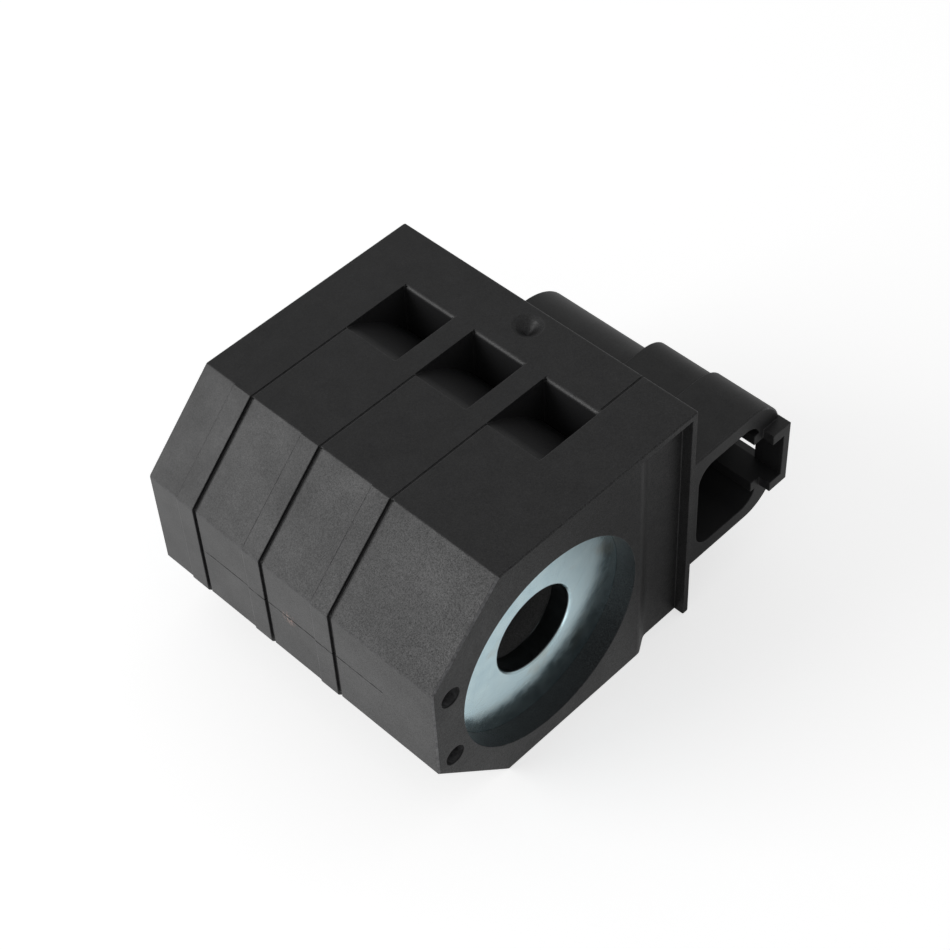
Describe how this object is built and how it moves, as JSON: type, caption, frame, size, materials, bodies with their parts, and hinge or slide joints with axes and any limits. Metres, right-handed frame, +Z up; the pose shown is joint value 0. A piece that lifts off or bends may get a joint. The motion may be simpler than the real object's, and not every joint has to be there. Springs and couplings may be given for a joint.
{
  "type": "solenoid valve coil",
  "caption": "Encapsulated solenoid coil: faceted moulded body round a steel-lined through bore, with a side connector tower, latch bridge and contacts.",
  "frame": {"origin": "on the axis of the coil bore, halfway between the two end faces of the body", "axes": "+Y along the bore towards the rear face, +X towards the connector tower, +Z up to the face with the three pockets"},
  "size_m": [0.0713, 0.0592, 0.044],
  "materials": {
    "housing": "black glass-filled nylon with a fine grain",
    "front_pole_plate": "blue-white zinc plating on low-carbon steel",
    "rear_pole_plate": "blue-white zinc plating on low-carbon steel",
    "upper_terminal_pin": "bright drawn brass",
    "lower_terminal_pin": "bright drawn brass",
    "flux_tube": "turned low-carbon steel",
    "bobbin": "black glass-filled nylon",
    "winding": "enamelled copper wire",
    "winding_tape": "thin polyester wrap",
    "terminal_carrier": "black glass-filled nylon",
    "start_lead": "enamelled copper wire",
    "finish_lead": "enamelled copper wire",
    "start_lead_sleeve": "woven glass sleeving",
    "finish_lead_sleeve": "woven glass sleeving",
    "start_joint": "tin solder",
    "finish_joint": "tin solder"
  },
  "bodies": {
    "root": {"housing": "housing", "front_pole_plate": "front_pole_plate", "rear_pole_plate": "rear_pole_plate", "upper_terminal_pin": "upper_terminal_pin", "lower_terminal_pin": "lower_terminal_pin", "flux_tube": "flux_tube", "bobbin": "bobbin", "winding": "winding", "winding_tape": "winding_tape", "terminal_carrier": "terminal_carrier", "start_lead": "start_lead", "finish_lead": "finish_lead", "start_lead_sleeve": "start_lead_sleeve", "finish_lead_sleeve": "finish_lead_sleeve", "start_joint": "start_joint", "finish_joint": "finish_joint"}
  },
  "joints": []
}
